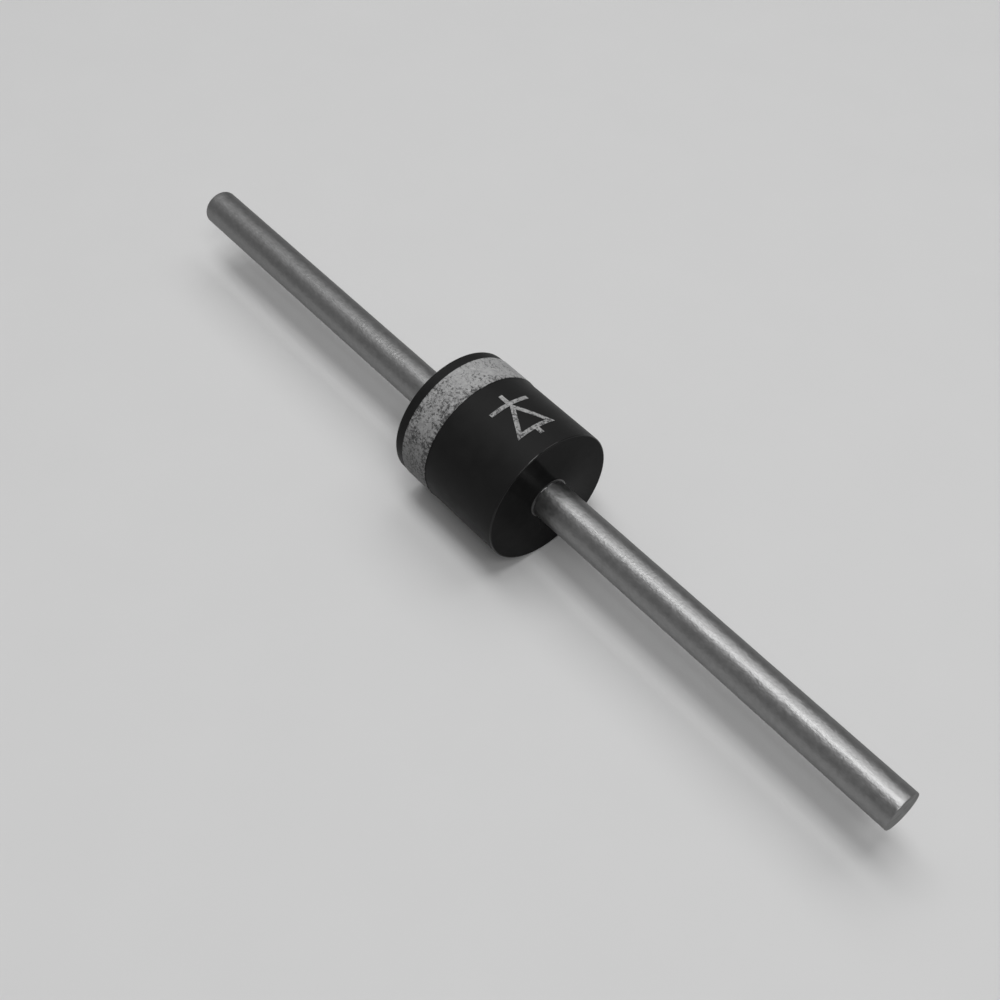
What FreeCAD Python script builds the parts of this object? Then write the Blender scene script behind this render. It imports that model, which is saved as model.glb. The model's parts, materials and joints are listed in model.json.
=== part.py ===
import FreeCAD, Part
import os

import Sketcher

# Axial rectifier diode, in millimetres. The lead axis is X: the anode lead points to +X and the
# banded cathode end to -X. The origin is the middle of the moulding, and +Z goes up through the
# side that carries the polarity mark.
SIZES = {
    "body_diameter": 8.6,  # the moulded barrel, across its round side
    "body_length": 8.6,  # the barrel, between its end faces
    "body_edge_break": 0.08,  # the barrel's two rims
    "exit_collar": 0.1,  # compound that creeps up each lead where it leaves the barrel
    "lead_diameter": 2.4,
    "lead_length": 25.4,  # from an end face to the tip
    "lead_tip_chamfer": 0.08,
    "head_overhang": 0.3,  # how far each lead's head reaches past the die's corners
    "head_thickness": 0.6,
    "head_root_round": 0.35,
    "neck_swell": 0.25,  # how much the neck thickens, all round, from the end face to the head
    "die_width": 3.4,
    "die_thickness": 0.28,
    "die_bevel": 0.1,  # the mesa etch along the die's anode side
    "solder_margin": 0.05,  # bare strip between the solder and the bevel
    "solder_thickness": 0.08,
    "coating_bulge": 0.18,  # how far the silicone bead stands out past the heads
    "band_width": 2.08,
    "band_setback": 0.69,  # plain rim between the cathode face and the band
    "band_thickness": 0.04,
}

# Places that several pieces share, worked out from the sizes
BODY_RADIUS = "Sizes.body_diameter / 2"
BODY_FACE = "Sizes.body_length / 2"
LEAD_RADIUS = "Sizes.lead_diameter / 2"
LEAD_TIP = f"{BODY_FACE} + Sizes.lead_length"
DIE_FACE = "Sizes.die_thickness / 2"
SOLDER_DIAMETER = "Sizes.die_width - 2 * Sizes.die_bevel - 2 * Sizes.solder_margin"
HEAD_RADIUS = "Sizes.die_width / sqrt(2) + Sizes.head_overhang"
HEAD_FRONT = f"{DIE_FACE} + Sizes.solder_thickness"
HEAD_BACK = f"{HEAD_FRONT} + Sizes.head_thickness"
NECK_ROOT_RADIUS = f"{LEAD_RADIUS} + Sizes.neck_swell"
ON_AXIS = "0"

ABOUT_Z = FreeCAD.Vector(0, 0, 1)
TOWARD_CATHODE = FreeCAD.Placement(FreeCAD.Vector(), FreeCAD.Rotation(ABOUT_Z, 180))

# How a sketch counts its own axes, and the points of an edge
H_AXIS, V_AXIS = -1, -2
START, END, CENTRE = range(1, 4)
ORIGIN = (H_AXIS, START)

# Two places nearer than this are the same place
CLOSE = 1e-6

doc = FreeCAD.newDocument("axial_rectifier_diode")


def size_sheet():
    """The sheet of driving sizes: a name in column A, its number with that alias in column B."""
    sheet = doc.addObject("Spreadsheet::Sheet", "Sizes")
    for row, (name, size) in enumerate(SIZES.items(), start=1):
        sheet.set(f"A{row}", name)
        sheet.set(f"B{row}", str(size))
        sheet.setAlias(f"B{row}", name)
    doc.recompute()
    return sheet


sizes = size_sheet()


def value(expression):
    """What an expression in the sheet's sizes comes to."""
    return float(sizes.evalExpression(expression))


def new_body(label):
    """An empty body, named for its piece."""
    body = doc.addObject("PartDesign::Body", label)
    body.Label = label
    return body


def origin_feature(body, role):
    """One of the body's own origin planes or axes."""
    return next(feature for feature in body.Origin.OriginFeatures if feature.Role == role)


def new_sketch(body, name, plane):
    """A sketch on one of the body's origin planes."""
    sketch = body.newObject("Sketcher::SketchObject", name)
    sketch.AttachmentSupport = [(origin_feature(body, plane), "")]
    sketch.MapMode = "FlatFace"
    return sketch


def constrain(sketch, kind, *what):
    """Adds one constraint and gives back its number."""
    return sketch.addConstraint(Sketcher.Constraint(kind, *what))


def hold_distance(sketch, name, kind, measured, expression):
    """A named distance or diameter in a sketch, tied to an expression in the sheet's sizes."""
    number = constrain(sketch, kind, *measured, value(expression))
    sketch.renameConstraint(number, name)
    sketch.setExpression(f"Constraints.{name}", expression)


def join_ends(sketch, count):
    """Joins the end of each of the first edges to the start of the next, all the way round."""
    for edge in range(count):
        constrain(sketch, "Coincident", edge, END, (edge + 1) % count, START)


def half_section(body, name, corners):
    """A closed outline in the XY plane, of straight lines through corners given as expressions."""
    sketch = new_sketch(body, name, "XY_Plane")
    points = [FreeCAD.Vector(value(x), value(y), 0) for x, y in corners]
    for start, end in zip(points, points[1:] + points[:1]):
        sketch.addGeometry(Part.LineSegment(start, end))
    join_ends(sketch, len(corners))
    for line, (x, y) in enumerate(corners):
        hold_distance(sketch, f"corner{line + 1}_x", "DistanceX", (*ORIGIN, line, START), x)
        if y == ON_AXIS:
            constrain(sketch, "PointOnObject", line, START, H_AXIS)
        else:
            hold_distance(sketch, f"corner{line + 1}_y", "DistanceY", (*ORIGIN, line, START), y)
    return sketch


def revolved(body, sketch, name):
    """The solid that a half section sweeps about the lead axis."""
    feature = body.newObject("PartDesign::Revolution", name)
    feature.Profile = sketch
    feature.ReferenceAxis = (origin_feature(body, "X_Axis"), [""])
    feature.Angle = 360
    doc.recompute()
    return feature


def disc_sketch(body, name, diameters):
    """Circles about the lead axis, in the YZ plane."""
    sketch = new_sketch(body, name, "YZ_Plane")
    for circle, (label, diameter) in enumerate(diameters.items()):
        sketch.addGeometry(Part.Circle(FreeCAD.Vector(), ABOUT_Z, value(diameter) / 2))
        constrain(sketch, "Coincident", circle, CENTRE, *ORIGIN)
        hold_distance(sketch, label, "Diameter", (circle,), diameter)
    return sketch


def padded(body, sketch, name, length, both_ways=False):
    """The sketch, thickened along the lead axis: toward +X, or half to each side."""
    pad = body.newObject("PartDesign::Pad", name)
    pad.Profile = sketch
    pad.setExpression("Length", length)
    pad.Midplane = both_ways
    doc.recompute()
    return pad


def ring_edges(feature, x, radius):
    """The names of the circular edges about the lead axis at this place along it."""
    names = []
    for number, edge in enumerate(feature.Shape.Edges, start=1):
        if not isinstance(edge.Curve, Part.Circle):
            continue
        at_place = abs(edge.Curve.Center.x - x) < CLOSE
        of_radius = abs(edge.Curve.Radius - radius) < CLOSE
        if at_place and of_radius:
            names.append(f"Edge{number}")
    return names


def dressed(body, kind, name, base, edges, prop, expression):
    """A fillet or chamfer of named edges, its radius or size tied to the sheet."""
    feature = body.newObject(f"PartDesign::{kind}", name)
    feature.Base = (base, edges)
    feature.setExpression(prop, expression)
    doc.recompute()
    return feature


def nail_head_lead(label):
    """A lead pointing to +X until it is placed: a plain wire outside the barrel, and inside it a
    neck that thickens toward the flat head, as the wire does when its head is cold-formed."""
    body = new_body(label)
    corners = [
        (HEAD_FRONT, ON_AXIS),
        (HEAD_FRONT, HEAD_RADIUS),
        (HEAD_BACK, HEAD_RADIUS),
        (HEAD_BACK, NECK_ROOT_RADIUS),
        (BODY_FACE, LEAD_RADIUS),
        (LEAD_TIP, LEAD_RADIUS),
        (LEAD_TIP, ON_AXIS),
    ]
    wire = revolved(body, half_section(body, "lead_section", corners), "headed_wire")
    root = ring_edges(wire, value(HEAD_BACK), value(NECK_ROOT_RADIUS))
    rooted = dressed(body, "Fillet", "head_root", wire, root, "Radius", "Sizes.head_root_round")
    tip = ring_edges(rooted, value(LEAD_TIP), value(LEAD_RADIUS))
    dressed(body, "Chamfer", "cut_tip", rooted, tip, "Size", "Sizes.lead_tip_chamfer")
    return body


def silicon_die():
    """The square die, its four edges bevelled on the anode side by the mesa etch."""
    body = new_body("silicon_die")
    sketch = new_sketch(body, "die_outline", "YZ_Plane")
    half = value("Sizes.die_width / 2")
    signs = (-1, -1), (1, -1), (1, 1), (-1, 1)
    corners = [FreeCAD.Vector(y * half, z * half, 0) for y, z in signs]
    for start, end in zip(corners, corners[1:] + corners[:1]):
        sketch.addGeometry(Part.LineSegment(start, end))
    bottom, right, top, left = range(len(corners))
    join_ends(sketch, len(corners))
    for level in (bottom, top):
        constrain(sketch, "Horizontal", level)
    for upright in (right, left):
        constrain(sketch, "Vertical", upright)
    constrain(sketch, "Symmetric", bottom, START, top, START, *ORIGIN)
    hold_distance(sketch, "across_y", "DistanceX", (bottom, START, bottom, END), "Sizes.die_width")
    hold_distance(sketch, "across_z", "DistanceY", (right, START, right, END), "Sizes.die_width")
    wafer = padded(body, sketch, "wafer", "Sizes.die_thickness", both_ways=True)
    anode_side = value(DIE_FACE)
    edges = [
        f"Edge{number}"
        for number, edge in enumerate(wafer.Shape.Edges, start=1)
        if all(abs(vertex.X - anode_side) < CLOSE for vertex in edge.Vertexes)
    ]
    dressed(body, "Chamfer", "mesa_etch", wafer, edges, "Size", "Sizes.die_bevel")
    return body


def solder_disc(label):
    """A disc of solder from the die's face to a head, on the +X side until it is placed."""
    body = new_body(label)
    sketch = disc_sketch(body, "solder_outline", {"across": SOLDER_DIAMETER})
    sketch.setExpression("AttachmentOffset.Base.z", DIE_FACE)
    padded(body, sketch, "solder", "Sizes.solder_thickness")
    return body


def coating_bead():
    """The silicone bead before the die and solder are taken from it: a disc between the two
    heads, whose rim bulges out past them in one arc."""
    body = new_body("coating_bead")
    disc = disc_sketch(body, "bead_outline", {"across": f"2 * ({HEAD_RADIUS})"})
    gap = f"2 * ({HEAD_FRONT})"
    padded(body, disc, "bead_disc", gap, both_ways=True)

    sketch = new_sketch(body, "bulge_section", "XY_Plane")
    crest_height = f"{HEAD_RADIUS} + Sizes.coating_bulge"
    left = FreeCAD.Vector(-value(HEAD_FRONT), value(HEAD_RADIUS), 0)
    right = FreeCAD.Vector(value(HEAD_FRONT), value(HEAD_RADIUS), 0)
    top = FreeCAD.Vector(0, value(crest_height), 0)
    edges = [Part.LineSegment(left, right), Part.Arc(right, top, left)]
    flat, arc = (sketch.addGeometry(edge) for edge in edges)
    crest = sketch.addGeometry(Part.Point(top), True)
    join_ends(sketch, len(edges))
    constrain(sketch, "Symmetric", flat, START, flat, END, V_AXIS)
    constrain(sketch, "PointOnObject", crest, START, V_AXIS)
    constrain(sketch, "PointOnObject", crest, START, arc)
    hold_distance(sketch, "gap", "DistanceX", (flat, START, flat, END), gap)
    hold_distance(sketch, "rim_height", "DistanceY", (*ORIGIN, flat, END), HEAD_RADIUS)
    hold_distance(sketch, "crest_height", "DistanceY", (*ORIGIN, crest, START), crest_height)
    revolved(body, sketch, "bulge")
    return body


def moulding():
    """The barrel before its contents are taken from it: a round block with both rims just
    broken, and the low collar of compound round each lead."""
    body = new_body("moulding")
    disc = disc_sketch(body, "barrel_outline", {"body_diameter": "Sizes.body_diameter"})
    barrel = padded(body, disc, "barrel", "Sizes.body_length", both_ways=True)
    face, radius = value(BODY_FACE), value(BODY_RADIUS)
    rims = ring_edges(barrel, face, radius) + ring_edges(barrel, -face, radius)
    dressed(body, "Chamfer", "barrel_rims", barrel, rims, "Size", "Sizes.body_edge_break")
    corners = [
        (BODY_FACE, ON_AXIS),
        (BODY_FACE, f"{LEAD_RADIUS} + Sizes.exit_collar"),
        (f"{BODY_FACE} + Sizes.exit_collar", LEAD_RADIUS),
        (f"{BODY_FACE} + Sizes.exit_collar", ON_AXIS),
    ]
    collar = revolved(body, half_section(body, "collar_section", corners), "anode_collar")
    both_collars = body.newObject("PartDesign::Mirrored", "both_collars")
    both_collars.Originals = [collar]
    both_collars.MirrorPlane = (origin_feature(body, "YZ_Plane"), [""])
    body.Tip = both_collars
    doc.recompute()
    return body


def cathode_band():
    """The printed ring of ink, set back from the cathode face by a plain rim."""
    body = new_body("cathode_band")
    diameters = {
        "inside": "Sizes.body_diameter",
        "outside": "Sizes.body_diameter + 2 * Sizes.band_thickness",
    }
    sketch = disc_sketch(body, "band_outline", diameters)
    sketch.setExpression("AttachmentOffset.Base.z", f"Sizes.band_setback - {BODY_FACE}")
    padded(body, sketch, "ink", "Sizes.band_width")
    return body


def formed_around(label, outside, contents):
    """A piece cast around others: its outside, less all that it encloses."""
    enclosed = doc.addObject("Part::MultiFuse", f"inside_{label}")
    enclosed.Shapes = contents
    cast = doc.addObject("Part::Cut", label)
    cast.Label = label
    cast.Base = outside
    cast.Tool = enclosed
    doc.recompute()
    return cast


def check(pieces):
    """Stops before anything is written if a feature failed or a piece isn't one sound solid."""
    for feature in doc.Objects:
        faults = {"Invalid", "Error"} & set(feature.State)
        if faults:
            raise RuntimeError(f"{feature.Label} is {', '.join(sorted(faults))}")
    for piece in pieces:
        if piece.Shape.isNull() or not piece.Shape.isValid():
            raise RuntimeError(f"{piece.Label} has no valid shape")
        if len(piece.Shape.Solids) != 1:
            raise RuntimeError(f"{piece.Label} is {len(piece.Shape.Solids)} solids, not one")


die = silicon_die()
solders = [solder_disc("anode_solder"), solder_disc("cathode_solder")]
leads = [nail_head_lead("anode_lead"), nail_head_lead("cathode_lead")]
for cathode_piece in (solders[1], leads[1]):
    cathode_piece.Placement = TOWARD_CATHODE
doc.recompute()

bead = coating_bead()
coating = formed_around("junction_coating", bead, [die, *solders])
epoxy = formed_around("epoxy_body", moulding(), [bead, *leads])
band = cathode_band()
doc.recompute()

pieces = [epoxy, *leads, band, die, *solders, coating]
check(pieces)
os.makedirs("parts", exist_ok=True)
for piece in pieces:
    piece.Shape.exportStep(f"parts/{piece.Label}.step")
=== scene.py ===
import json
import math

import bmesh
import bpy
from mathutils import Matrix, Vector


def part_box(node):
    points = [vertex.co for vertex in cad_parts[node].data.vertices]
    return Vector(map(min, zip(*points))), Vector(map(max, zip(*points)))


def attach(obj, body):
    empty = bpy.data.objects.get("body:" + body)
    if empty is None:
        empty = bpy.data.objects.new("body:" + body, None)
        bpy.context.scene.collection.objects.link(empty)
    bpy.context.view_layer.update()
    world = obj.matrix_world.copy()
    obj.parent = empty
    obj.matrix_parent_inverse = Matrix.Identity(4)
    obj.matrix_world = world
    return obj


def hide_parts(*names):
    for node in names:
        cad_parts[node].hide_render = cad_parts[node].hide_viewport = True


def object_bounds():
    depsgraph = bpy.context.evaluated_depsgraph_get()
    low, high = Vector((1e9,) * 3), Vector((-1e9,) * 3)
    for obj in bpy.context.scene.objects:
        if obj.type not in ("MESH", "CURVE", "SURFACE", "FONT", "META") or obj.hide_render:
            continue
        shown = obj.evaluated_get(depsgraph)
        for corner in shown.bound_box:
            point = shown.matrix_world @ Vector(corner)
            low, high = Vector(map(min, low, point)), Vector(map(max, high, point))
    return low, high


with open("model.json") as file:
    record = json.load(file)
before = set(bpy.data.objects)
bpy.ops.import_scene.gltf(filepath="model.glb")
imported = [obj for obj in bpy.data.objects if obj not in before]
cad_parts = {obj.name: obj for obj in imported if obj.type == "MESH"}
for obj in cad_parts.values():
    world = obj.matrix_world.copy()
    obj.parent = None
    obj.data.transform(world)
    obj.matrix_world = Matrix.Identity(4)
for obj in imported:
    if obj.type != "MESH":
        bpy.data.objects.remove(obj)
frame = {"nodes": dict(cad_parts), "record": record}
cad_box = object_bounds()

# Sizes are in millimetres until a primitive or an operator takes them, in metres
MM = 0.001

# The camera of the photograph: where its axis passes the part, and from where it looks
VIEW_POINT = (1.579, -1.295, -1.695)
VIEW_DISTANCE = 79.10
VIEW_AZIMUTH = 49.88
VIEW_ELEVATION = 50.31
VIEW_LENS = 48.98

# The floor and the tones round the part
FLOOR_SIZE = 6000
FADE_START, FADE_END = 160, 560  # how far out the floor fades into the tone of the horizon
HORIZON = 0.3  # the tone into which the floor and the surroundings fade, as they are seen
FLOOR_BOUNCE = 0.2  # the tone of the floor for the soft light that it throws back up
WORLD_FILL = 0.14  # the tone of the surroundings for the soft light that they send in


def reach(node):
    """How far a round node stands out from the lead axis."""
    far_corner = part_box(node)[1]
    return max(far_corner.y, far_corner.z) / MM


# The barrel, the band and the leads. What the frame has is read from it
COLLAR = 0.1  # compound that creeps up each lead where it leaves the barrel
BARREL_RADIUS = reach("epoxy_body")
BARREL_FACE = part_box("epoxy_body")[1].x / MM - COLLAR
RIM_ROUND = 0.07
BAND_RADIUS = reach("cathode_band")
BAND_NEAR_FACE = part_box("cathode_band")[0].x / MM
BAND_NEAR_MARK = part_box("cathode_band")[1].x / MM
BAND_WEAR = 0.45  # how wide the worn strip is along the band's edge by the mark
BEAD_RADIUS = reach("junction_coating")
WIRE_RADIUS = frame["record"]["mounts"][0]["dims"]["r_mm"]
LEAD_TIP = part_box("anode_lead")[1].x / MM
TIP_ROUND = 0.05
RIPPLE_MARGIN = 0.3  # plain wire at each end that the ripple of the tin leaves alone
HEAD_RADIUS = reach("anode_lead")
HEAD_THICKNESS = 0.6
HEAD_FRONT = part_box("anode_lead")[0].x / MM
HEAD_BACK = HEAD_FRONT + HEAD_THICKNESS
HEAD_ROOT = 0.35  # the round where the head meets the neck
NECK_SWELL = 0.25  # how far the neck swells beyond the plain wire, where it meets the head
NECK_RADIUS = WIRE_RADIUS + NECK_SWELL

# The printed mark: the sign for a diode, pointing at the band
STROKE = 0.27
MARK_START = 3.2  # end of the stub toward the anode face
TRIANGLE_BASE = 2.75
TRIANGLE_HEIGHT = 2.35
MARK_END = -0.4  # end of the stub toward the band
MARK_TURN = 5.0  # degrees from the top of the barrel toward +Y
MARK_STRIPS = 47  # odd, so that no cut runs through the triangle's point
INK_THICKNESS = 0.02

# How finely the round pieces are divided
BARREL_SIDES = 256
BAND_SIDES = 720
BAND_SLICES = 6
WIRE_SIDES = 96
WIRE_CUTS = (15, 15)  # the plain wire is cut, and then each of its lengths again
SHARP_EDGE = 35  # degrees by which two faces turn before the edge between them stays sharp
CLOSE = 0.002  # places nearer than this are the same place
DOUBLE = 0.0001  # points nearer than this are doubles of one point

# The barrel's finishes: tone, roughness, depth of the grain in millimetres, and shine
COMPOUND_FINISHES = {
    "moulding_compound": (0.011, 0.5, 0.004, 0.11),
    "polished_end_compound": (0.013, 0.12, 0.0006, 0.04),
    "glossy_rim_compound": (0.007, 0.14, 0.0006, 0.28),
    "meniscus_compound": (0.008, 0.07, 0.0003, 0.65),
}
ROUND_SIDE, END_FACE, RIM, MENISCUS = range(len(COMPOUND_FINISHES))


# --- Modelling ---


def deselect():
    bpy.ops.object.select_all(action="DESELECT")


def take(piece):
    """Selects one piece alone and makes it the active one."""
    deselect()
    bpy.context.view_layer.objects.active = piece
    piece.select_set(True)


def start_editing(piece):
    take(piece)
    bpy.ops.object.mode_set(mode="EDIT")


def stop_editing():
    bpy.ops.object.mode_set(mode="OBJECT")


def settle():
    """Moves the place, turn and size of the selected piece into its mesh."""
    bpy.ops.object.transform_apply(location=True, rotation=True, scale=True)


def shade_round():
    """Shades the active piece smooth up to its sharp edges."""
    bpy.ops.object.shade_smooth_by_angle(angle=math.radians(SHARP_EDGE))


def pick_edges(piece, wanted):
    """Selects, in edit mode, the edges of a piece for which wanted says yes."""
    bpy.ops.mesh.select_all(action="DESELECT")
    bpy.ops.mesh.select_mode(type="EDGE")
    mesh = bmesh.from_edit_mesh(piece.data)
    for edge in mesh.edges:
        if wanted(edge):
            edge.select_set(True)
    mesh.select_flush_mode()
    bmesh.update_edit_mesh(piece.data)


def on_ring(x, radius):
    """Says whether an edge lies on the ring of this radius, at this place along the leads."""
    def lies(edge):
        return all(
            abs(point.co.x / MM - x) < CLOSE
            and abs(math.hypot(point.co.y, point.co.z) / MM - radius) < CLOSE
            for point in edge.verts
        )
    return lies


def turned(name, sides, stations):
    """A round skin about the lead axis: a ring, extruded and scaled to each next station, which
    is a place along the axis and a radius."""
    (x, radius), *others = stations
    deselect()
    bpy.ops.mesh.primitive_circle_add(
        vertices=sides, radius=radius * MM, location=(x * MM, 0, 0), rotation=(0, math.pi / 2, 0)
    )
    piece = bpy.context.object
    piece.name = name
    settle()
    bpy.ops.object.mode_set(mode="EDIT")
    for next_x, next_radius in others:
        step = ((next_x - x) * MM, 0, 0)
        bpy.ops.mesh.extrude_region_move(TRANSFORM_OT_translate={"value": step})
        growth = next_radius / radius
        bpy.ops.transform.resize(value=(1, growth, growth), center_override=(next_x * MM, 0, 0))
        x, radius = next_x, next_radius
    stop_editing()
    return piece


def round_ring(piece, x, radius, size, segments):
    """Rounds the edge of a piece along one ring."""
    start_editing(piece)
    pick_edges(piece, on_ring(x, radius))
    bpy.ops.mesh.bevel(offset=size * MM, segments=segments, affect="EDGES")
    stop_editing()


def close_ring(piece, x, radius):
    """Closes the open ring of a piece with one flat face."""
    start_editing(piece)
    pick_edges(piece, on_ring(x, radius))
    bpy.ops.mesh.edge_face_add()
    stop_editing()


def finish_skin(piece):
    """Merges doubles, turns every face outward and shades it smooth up to its sharp edges."""
    start_editing(piece)
    bpy.ops.mesh.select_all(action="SELECT")
    bpy.ops.mesh.remove_doubles(threshold=DOUBLE * MM)
    bpy.ops.mesh.normals_make_consistent(inside=False)
    stop_editing()
    shade_round()


def apply_modifier(piece, kind, **settings):
    """Adds a modifier to a piece, sets it and applies it."""
    take(piece)
    bpy.ops.object.modifier_add(type=kind)
    modifier = piece.modifiers[-1]
    for name, setting in settings.items():
        setattr(modifier, name, setting)
    bpy.ops.object.modifier_apply(modifier=modifier.name)


def ripple(piece, name, wanted, lump, height, direction="NORMAL"):
    """Moves the points of a piece for which wanted says yes by a soft noise, whose lumps are this
    many millimetres across and whose full height is this many."""
    chosen = [point.index for point in piece.data.vertices if wanted(point.co / MM)]
    piece.vertex_groups.new(name=name).add(chosen, 1, "REPLACE")
    clouds = bpy.data.textures.new(f"{piece.name}_{name}", "CLOUDS")
    clouds.noise_scale = lump * MM
    clouds.noise_depth = 2
    apply_modifier(
        piece, "DISPLACE", texture=clouds, texture_coords="LOCAL", direction=direction,
        strength=height * MM, mid_level=0.5, vertex_group=name,
    )


# --- Camera and lamps ---


def studio_camera():
    """The camera at the photograph's angle and distance, as a fit of its perspective gives them."""
    azimuth, elevation = math.radians(VIEW_AZIMUTH), math.radians(VIEW_ELEVATION)
    back = Vector((
        math.sin(azimuth) * math.cos(elevation),
        -math.cos(azimuth) * math.cos(elevation),
        math.sin(elevation),
    ))
    place = (Vector(VIEW_POINT) + back * VIEW_DISTANCE) * MM
    bpy.ops.object.camera_add(location=place, rotation=(math.pi / 2 - elevation, 0, azimuth))
    camera = bpy.context.object
    camera.name = "studio_camera"
    camera.data.lens = VIEW_LENS
    camera.data.clip_start = MM
    bpy.context.scene.camera = camera


def softbox(name, place, length, width, watts):
    """An oblong lamp as long as this along the leads, turned to the lead axis beside it."""
    place = Vector(place) * MM
    turn = Vector((0, place.y, place.z)).to_track_quat("Z", "Y").to_euler()
    bpy.ops.object.light_add(type="AREA", location=place, rotation=turn)
    lamp = bpy.context.object
    lamp.name = name
    lamp.data.shape = "RECTANGLE"
    lamp.data.size = length * MM
    lamp.data.size_y = width * MM
    lamp.data.energy = watts


# --- Shader nodes ---


def feed(material, socket, given):
    """Gives a socket a plain value or another node's output."""
    if isinstance(given, bpy.types.NodeSocket):
        material.node_tree.links.new(given, socket)
    else:
        socket.default_value = given


def add_node(material, kind, inputs=None, **settings):
    """A shader node with its settings and what feeds its inputs."""
    node = material.node_tree.nodes.new(kind)
    for name, setting in settings.items():
        setattr(node, name, setting)
    for socket, given in (inputs or {}).items():
        feed(material, node.inputs[socket], given)
    return node


def grey(level):
    return (level, level, level, 1)


def new_material(name):
    material = bpy.data.materials.new(name)
    material.use_nodes = True
    return material


def surface(material, **inputs):
    """Sets the sockets of a material's main shader, by their names in lower case."""
    shader = material.node_tree.nodes["Principled BSDF"]
    for name, given in inputs.items():
        feed(material, shader.inputs[name.replace("_", " ").title().replace("Ior", "IOR")], given)


def millimetres(material, stretch=(1, 1, 1)):
    """The object's coordinates in millimetres, with the pattern drawn out along an axis."""
    place = add_node(material, "ShaderNodeTexCoord").outputs["Object"]
    scale = tuple(1 / (MM * draw) for draw in stretch)
    return add_node(material, "ShaderNodeMapping", {"Vector": place, "Scale": scale}).outputs[0]


def noise(material, place, lump, detail, roughness=0.5):
    """Noise from 0 to 1 with lumps of about this many millimetres."""
    inputs = {"Vector": place, "Scale": 1 / lump, "Detail": detail, "Roughness": roughness}
    return add_node(material, "ShaderNodeTexNoise", inputs).outputs[0]


def ranged(material, given, low, high, to_low, to_high):
    """Takes a value from one range to another, held at both ends."""
    inputs = {
        "Value": given,
        "From Min": low, "From Max": high,
        "To Min": to_low, "To Max": to_high,
    }
    return add_node(material, "ShaderNodeMapRange", inputs).outputs[0]


def spread(material, pattern, to_low=0, to_high=1):
    """The middle of a noise, where nearly all of it lies, spread over a range."""
    return ranged(material, pattern, 0.3, 0.7, to_low, to_high)


def math_node(material, operation, first, second):
    """One operation on two numbers, either of which may be another node's output."""
    node = add_node(material, "ShaderNodeMath", operation=operation)
    for socket, given in zip(node.inputs, (first, second)):
        feed(material, socket, given)
    return node.outputs[0]


def blended(material, factor, first, second):
    """One colour turning into another."""
    node = add_node(material, "ShaderNodeMix", data_type="RGBA")
    for name, given in (("Factor", factor), ("A", first), ("B", second)):
        kind = "VALUE" if name == "Factor" else "RGBA"
        feed(material, next(s for s in node.inputs if s.name == name and s.type == kind), given)
    return next(s for s in node.outputs if s.type == "RGBA")


def bump(material, height, depth):
    """A relief this many millimetres deep."""
    inputs = {"Height": height, "Distance": depth * MM, "Strength": 1.0}
    return add_node(material, "ShaderNodeBump", inputs).outputs[0]


def seen_as_image(material):
    """1 where the camera or a glossy surface sees the material, and 0 for its soft return light."""
    path = add_node(material, "ShaderNodeLightPath").outputs
    seen = math_node(material, "MAXIMUM", path["Is Camera Ray"], path["Is Glossy Ray"])
    return math_node(material, "MAXIMUM", seen, path["Is Transmission Ray"])


# --- Finishes ---


def moulding_compound(name, tone, roughness, relief, shine):
    """Black filled epoxy as it leaves the mould: a fine grain, and faint clouds of filler."""
    material = new_material(name)
    place = millimetres(material)
    clouds = noise(material, place, lump=0.9, detail=4.0)
    grain = noise(material, place, lump=0.07, detail=3.0, roughness=0.6)
    surface(
        material,
        base_color=blended(material, clouds, grey(tone * 0.7), grey(tone * 1.3)),
        roughness=spread(material, clouds, roughness - 0.04, roughness + 0.05),
        specular_ior_level=shine,
        normal=bump(material, grain, relief),
    )
    return material


def tinned_copper(name, roughness):
    """Dull tin on drawn wire: soft mottling, and fine streaks along the draw."""
    material = new_material(name)
    place = millimetres(material)
    drawn = millimetres(material, stretch=(4, 1, 1))
    mottle = noise(material, place, lump=0.35, detail=5.0, roughness=0.6)
    grain = noise(material, place, lump=0.2, detail=5.0, roughness=0.6)
    streaks = noise(material, drawn, lump=0.08, detail=3.0)
    relief = math_node(material, "ADD", grain, math_node(material, "MULTIPLY", streaks, 0.3))
    surface(
        material,
        base_color=blended(material, spread(material, mottle), grey(0.23), grey(0.28)),
        metallic=1.0,
        roughness=spread(material, mottle, roughness - 0.04, roughness + 0.04),
        specular_tint=grey(0.6),
        normal=bump(material, relief, 0.019),
    )
    return material


def sheared_metal(name):
    """The cut tip of a lead: dull, with the fine lines of the shear across it."""
    material = new_material(name)
    across = millimetres(material, stretch=(1, 6, 1))
    lines = noise(material, across, lump=0.11, detail=4.0, roughness=0.6)
    tears = noise(material, millimetres(material), lump=0.5, detail=3.0)

    # Two noises added lie round 1, so this makes their low places 0 and their high ones 1
    relief = math_node(material, "ADD", lines, tears)
    high = ranged(material, relief, 0.85, 1.15, 0, 1)
    surface(
        material,
        base_color=blended(material, high, grey(0.17), grey(0.3)),
        metallic=1.0,
        roughness=spread(material, tears, 0.42, 0.58),
        specular_tint=grey(0.6),
        normal=bump(material, relief, 0.02),
    )
    return material


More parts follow.
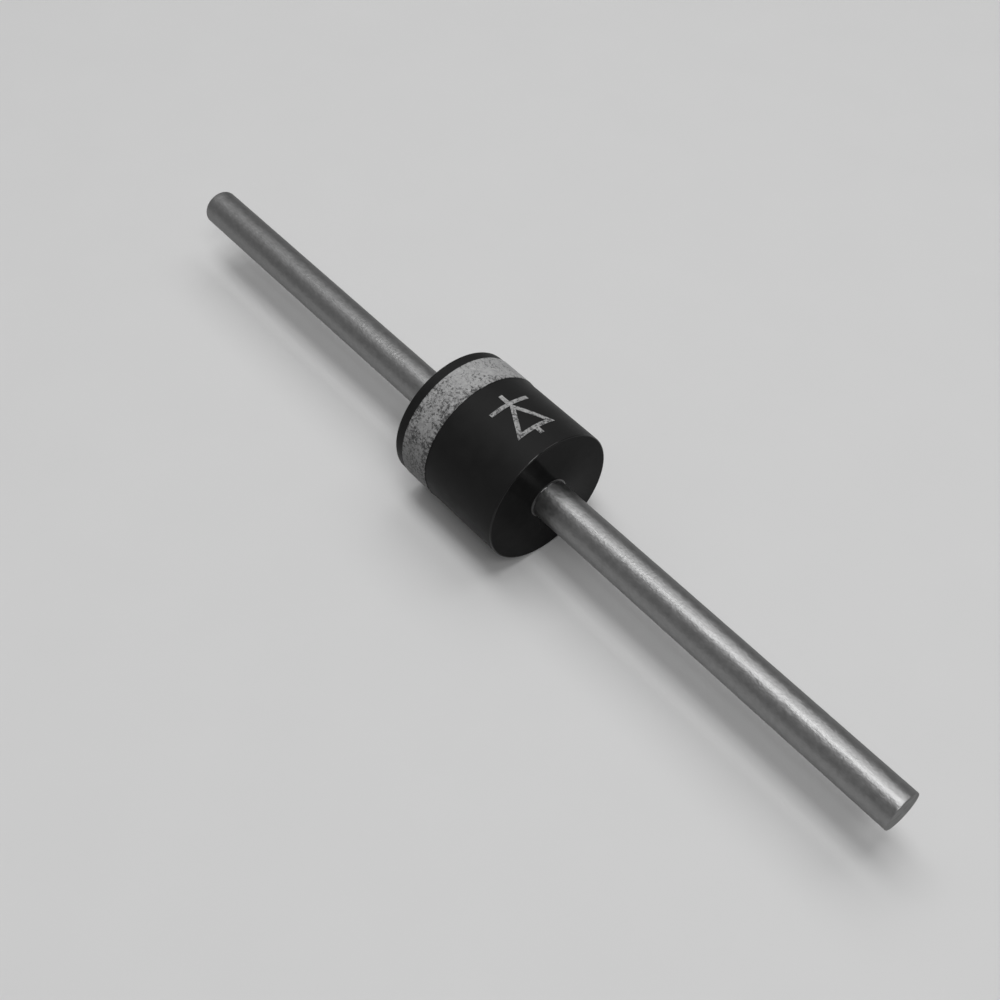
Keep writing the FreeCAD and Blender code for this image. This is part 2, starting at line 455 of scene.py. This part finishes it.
def ink(name, hold, wear_near_edge):
    """Light grey marking ink with specks worn through to the black compound. The ink holds better
    the higher this value is. The wear grows down the barrel's -Y side, and along the band's edge
    if it has one."""
    material = new_material(name)
    place = millimetres(material)
    across = add_node(material, "ShaderNodeSeparateXYZ", {"Vector": place}).outputs

    # Specks of two sizes, together from 0 to 1
    coarse = noise(material, place, lump=0.16, detail=5.0, roughness=0.7)
    fine = noise(material, place, lump=0.06, detail=4.0, roughness=0.7)
    specks = math_node(material, "ADD", coarse, math_node(material, "MULTIPLY", fine, 0.5))
    specks = math_node(material, "DIVIDE", specks, 1.5)

    # The ink is sound up to this level of the specks, and worn through above it
    patches = noise(material, place, lump=0.8, detail=3.0)
    sound = ranged(material, across["Y"], -4.0, 3.0, hold - 0.02, hold + 0.03)
    sound = math_node(material, "SUBTRACT", sound, spread(material, patches, -0.06, 0.06))
    if wear_near_edge:
        edge = ranged(material, across["X"], BAND_NEAR_MARK - BAND_WEAR, BAND_NEAR_MARK, 0, 0.05)
        sound = math_node(material, "SUBTRACT", sound, edge)
    over = math_node(material, "SUBTRACT", specks, sound)
    worn = ranged(material, over, -0.025, 0.06, 0, 1)

    # What holds is uneven, and darker down the -Y side: painted shade where the barrel's lower side
    # turns away from the lamps
    painted_low_shade = ranged(material, across["Y"], -4.3, 0.5, 0.25, 0.0)
    uneven = noise(material, place, lump=0.25, detail=6.0, roughness=0.75)
    # The uneven tone has the painted shade of the lower side taken off it, so the ink reads darker
    # there
    uneven = math_node(material, "SUBTRACT", spread(material, uneven), painted_low_shade)
    tone = blended(material, uneven, grey(0.25), grey(0.45))
    surface(
        material,
        base_color=blended(material, worn, tone, grey(0.05)),
        roughness=ranged(material, worn, 0, 1, 0.62, 0.45),
        specular_ior_level=0.35,
        normal=bump(material, worn, -0.006),
    )
    return material


def dress_inner_node(node, tone_low, tone_high, roughness, metallic, lump):
    """Gives a sealed inner piece its own finish."""
    material = new_material(f"{node}_finish")
    clouds = noise(material, millimetres(material), lump, detail=3.0)
    surface(
        material,
        base_color=blended(material, clouds, tone_low, tone_high),
        roughness=spread(material, clouds, roughness - 0.05, roughness + 0.05),
        metallic=metallic,
    )
    piece = frame["nodes"][node]
    piece.data.materials.clear()
    piece.data.materials.append(material)


# --- Pieces ---


def backdrop():
    """The pale studio floor under the barrel, and the grey surroundings into which it fades far
    away. Both send less soft light onto the part than their own tones would, so that its lower
    sides fall off into the dark."""
    low_corner = cad_box[0]
    deselect()
    bpy.ops.mesh.primitive_plane_add(size=FLOOR_SIZE * MM, location=(0, 0, low_corner.z))
    floor = bpy.context.object
    floor.name = "studio_floor"
    paper = new_material("pale_paper")
    place = millimetres(paper)
    seen = seen_as_image(paper)
    fibre = noise(paper, place, lump=6.0, detail=3.0)
    away = add_node(paper, "ShaderNodeVectorMath", {0: place}, operation="LENGTH").outputs["Value"]
    far = ranged(paper, away, FADE_START, FADE_END, 0, 1)
    pale = blended(paper, fibre, grey(0.66), grey(0.68))
    surface(
        paper,
        base_color=blended(paper, seen, grey(FLOOR_BOUNCE), blended(paper, far, pale, grey(0))),
        roughness=0.9,
        specular_ior_level=0.1,
        emission_color=grey(HORIZON),
        emission_strength=math_node(paper, "MULTIPLY", far, seen),
    )
    floor.data.materials.append(paper)
    world = bpy.data.worlds.new("studio")
    bpy.context.scene.world = world
    world.use_nodes = True
    tone = blended(world, seen_as_image(world), grey(WORLD_FILL), grey(HORIZON))
    feed(world, world.node_tree.nodes["Background"].inputs["Color"], tone)


def barrel():
    """The moulded barrel: round rims, a meniscus of compound round each lead, and inside it the
    hollow that the heads, the necks and the bead of coating fill."""
    foot = WIRE_RADIUS + COLLAR
    quarter = [math.radians(angle) for angle in (90, 60, 30, 0)]
    meniscus = [
        (BARREL_FACE + COLLAR * (1 - math.cos(a)), foot - COLLAR * math.sin(a)) for a in quarter
    ]
    bulge = BEAD_RADIUS - HEAD_RADIUS
    arc_radius = (HEAD_FRONT**2 + bulge**2) / (2 * bulge)
    arc = math.asin(HEAD_FRONT / arc_radius)
    round_bead = [
        (arc_radius * math.sin(a), BEAD_RADIUS - arc_radius * (1 - math.cos(a)))
        for a in (0, arc / 4, arc / 2, arc * 3 / 4, arc)
    ]
    hollow = [
        *round_bead,
        (HEAD_BACK, HEAD_RADIUS),
        (HEAD_BACK, NECK_RADIUS),
        (BARREL_FACE, WIRE_RADIUS),
    ]
    half = [*hollow, *meniscus, (BARREL_FACE, BARREL_RADIUS)]
    other_half = [(-x, radius) for x, radius in reversed(half)]
    piece = turned("moulded_barrel", BARREL_SIDES, half + other_half)
    finish_skin(piece)
    for end in (-1, 1):
        round_ring(piece, end * BARREL_FACE, BARREL_RADIUS, RIM_ROUND, segments=4)
        round_ring(piece, end * HEAD_BACK, NECK_RADIUS, HEAD_ROOT, segments=5)
    finish_skin(piece)

    def finish_of(face):
        out = math.hypot(face.center.y, face.center.z) / MM
        if abs(face.center.x / MM) <= BARREL_FACE - RIM_ROUND or out <= WIRE_RADIUS:
            return ROUND_SIDE
        if out < foot:
            return MENISCUS
        return RIM if out > BARREL_RADIUS - RIM_ROUND else END_FACE

    for name, finish in COMPOUND_FINISHES.items():
        piece.data.materials.append(moulding_compound(name, *finish))
    for face in piece.data.polygons:
        face.material_index = finish_of(face)
    return piece


def nail_head_lead(name, end):
    """A lead with its cold-formed head and swelling neck inside the barrel, and outside it the
    plain wire, whose tin is a little uneven, down to the cut tip."""
    stations = [
        (HEAD_FRONT, HEAD_RADIUS),
        (HEAD_BACK, HEAD_RADIUS),
        (HEAD_BACK, NECK_RADIUS),
        (BARREL_FACE, WIRE_RADIUS),
        (LEAD_TIP, WIRE_RADIUS),
    ]
    piece = turned(name, WIRE_SIDES, [(end * x, radius) for x, radius in stations])
    close_ring(piece, end * HEAD_FRONT, HEAD_RADIUS)
    close_ring(piece, end * LEAD_TIP, WIRE_RADIUS)
    round_ring(piece, end * LEAD_TIP, WIRE_RADIUS, TIP_ROUND, segments=3)
    round_ring(piece, end * HEAD_BACK, NECK_RADIUS, HEAD_ROOT, segments=5)

    def along_wire(edge):
        near, far = sorted(abs(point.co.x / MM) for point in edge.verts)
        return near > BARREL_FACE - CLOSE and far - near > TIP_ROUND

    for cuts in WIRE_CUTS:
        start_editing(piece)
        pick_edges(piece, along_wire)
        bpy.ops.mesh.subdivide(number_cuts=cuts)
        stop_editing()
    finish_skin(piece)
    ripple(
        piece, "wire",
        lambda at: BARREL_FACE + RIPPLE_MARGIN < abs(at.x) < LEAD_TIP - RIPPLE_MARGIN,
        lump=0.8, height=0.01,
    )
    shade_round()
    return piece


def band():
    """The printed ring, its two edges a little ragged."""
    width = BAND_NEAR_MARK - BAND_NEAR_FACE
    outer = [
        (BAND_NEAR_FACE + width * k / BAND_SLICES, BAND_RADIUS) for k in range(BAND_SLICES + 1)
    ]
    inner = [(BAND_NEAR_MARK, BARREL_RADIUS), (BAND_NEAR_FACE, BARREL_RADIUS)]
    piece = turned("band_print", BAND_SIDES, outer + inner + outer[:1])
    finish_skin(piece)
    for name, edge_x, ragged in (
        ("ragged_edge", BAND_NEAR_MARK, 0.07),
        ("clean_edge", BAND_NEAR_FACE, 0.03),
    ):
        ripple(
            piece, name, lambda at, edge_x=edge_x: abs(at.x - edge_x) < CLOSE,
            lump=0.12, height=ragged, direction="X",
        )
    shade_round()
    return piece


def thickened(stroke):
    """Makes a flat stroke as thick as the ink, downward from where it is drawn."""
    start_editing(stroke)
    bpy.ops.mesh.select_all(action="SELECT")
    down = (0, 0, -INK_THICKNESS * MM)
    bpy.ops.mesh.extrude_region_move(TRANSFORM_OT_translate={"value": down})
    stop_editing()
    finish_skin(stroke)
    return stroke


def straight_stroke(start, end, width):
    """A stroke along the lead axis, centred on it, from one place to another."""
    deselect()
    bpy.ops.mesh.primitive_plane_add(size=1, location=((start + end) / 2 * MM, 0, 0))
    bpy.ops.transform.resize(value=(abs(end - start) * MM, width * MM, 1))
    settle()
    return thickened(bpy.context.object)


def triangle_stroke():
    """The outline of the sign's triangle, its point toward the band."""
    middle = TRIANGLE_BASE - TRIANGLE_HEIGHT / 3
    deselect()
    bpy.ops.mesh.primitive_circle_add(
        vertices=3, radius=TRIANGLE_HEIGHT * 2 / 3 * MM, fill_type="NGON",
        location=(middle * MM, 0, 0), rotation=(0, 0, math.pi / 2),
    )
    triangle = bpy.context.object
    settle()
    bpy.ops.object.mode_set(mode="EDIT")
    bpy.ops.mesh.inset(thickness=STROKE * MM)
    bpy.ops.mesh.delete(type="FACE")
    stop_editing()
    return thickened(triangle)


def polarity_mark():
    """The sign for a diode as a film of ink: its strokes drawn flat and joined, cut into narrow
    strips and bent round the barrel."""
    point = TRIANGLE_BASE - TRIANGLE_HEIGHT
    half_width = TRIANGLE_HEIGHT / math.sqrt(3)
    overlap = STROKE / 2
    bar_near, bar_far = point + overlap, point + overlap - STROKE
    piece = triangle_stroke()
    piece.name = "polarity_mark"
    for stroke in (
        straight_stroke(MARK_START, TRIANGLE_BASE - overlap, STROKE),
        straight_stroke(bar_near, bar_far, half_width * 2),
        straight_stroke(bar_far + overlap, MARK_END, STROKE),
    ):
        apply_modifier(piece, "BOOLEAN", operation="UNION", solver="EXACT", object=stroke)
        bpy.data.objects.remove(stroke)
    start_editing(piece)
    for k in range(1, MARK_STRIPS):
        at = (2 * k / MARK_STRIPS - 1) * half_width * MM
        bpy.ops.mesh.select_all(action="SELECT")
        bpy.ops.mesh.bisect(plane_co=(0, at, 0), plane_no=(0, 1, 0))
    stop_editing()
    piece.rotation_euler = (math.pi / 2, 0, 0)
    settle()
    outside = BARREL_RADIUS + INK_THICKNESS
    apply_modifier(
        piece, "SIMPLE_DEFORM", deform_method="BEND", deform_axis="X",
        angle=2 * half_width / outside,
    )
    piece.location = (0, -outside * MM, 0)
    settle()
    piece.rotation_euler = (-math.pi / 2 - math.radians(MARK_TURN), 0, 0)
    settle()
    finish_skin(piece)
    return piece


# --- The scene ---

bpy.context.scene.view_settings.view_transform = "Standard"
studio_camera()
softbox("front_softbox", (215, -110, 330), length=130, width=190, watts=0.42)
softbox("near_softbox", (20, -16, 330), length=140, width=90, watts=0.3)
softbox("middle_softbox", (-120, 4, 330), length=140, width=90, watts=0.18)
softbox("far_softbox", (-280, 14, 330), length=180, width=480, watts=0.13)
softbox("side_softbox", (-20, 160, 300), length=300, width=170, watts=0.26)
backdrop()

tin = tinned_copper("tinned_copper", roughness=0.37)
sheared = sheared_metal("sheared_tip")
band_ink = ink("band_ink", hold=0.525, wear_near_edge=True)
mark_ink = ink("mark_ink", hold=0.51, wear_near_edge=False)

moulded = barrel()
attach(moulded, "root")
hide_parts("epoxy_body")

for node, end in (("anode_lead", 1), ("cathode_lead", -1)):
    lead = nail_head_lead(f"{node}_wire", end)
    lead.data.materials.append(tin)
    lead.data.materials.append(sheared)
    for face in lead.data.polygons:
        face.material_index = int(abs(face.center.x / MM) > LEAD_TIP - CLOSE)
    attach(lead, "root")
    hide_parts(node)

ring = band()
ring.data.materials.append(band_ink)
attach(ring, "root")
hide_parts("cathode_band")

mark = polarity_mark()
mark.data.materials.append(mark_ink)
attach(mark, "root")

dress_inner_node(
    "silicon_die", (0.14, 0.15, 0.18, 1), (0.18, 0.19, 0.23, 1),
    roughness=0.15, metallic=0.3, lump=0.6,
)
for solder in ("anode_solder", "cathode_solder"):
    dress_inner_node(solder, grey(0.38), grey(0.48), roughness=0.4, metallic=1.0, lump=0.3)
dress_inner_node(
    "junction_coating", (0.72, 0.71, 0.67, 1), (0.8, 0.79, 0.76, 1),
    roughness=0.4, metallic=0.0, lump=0.5,
)
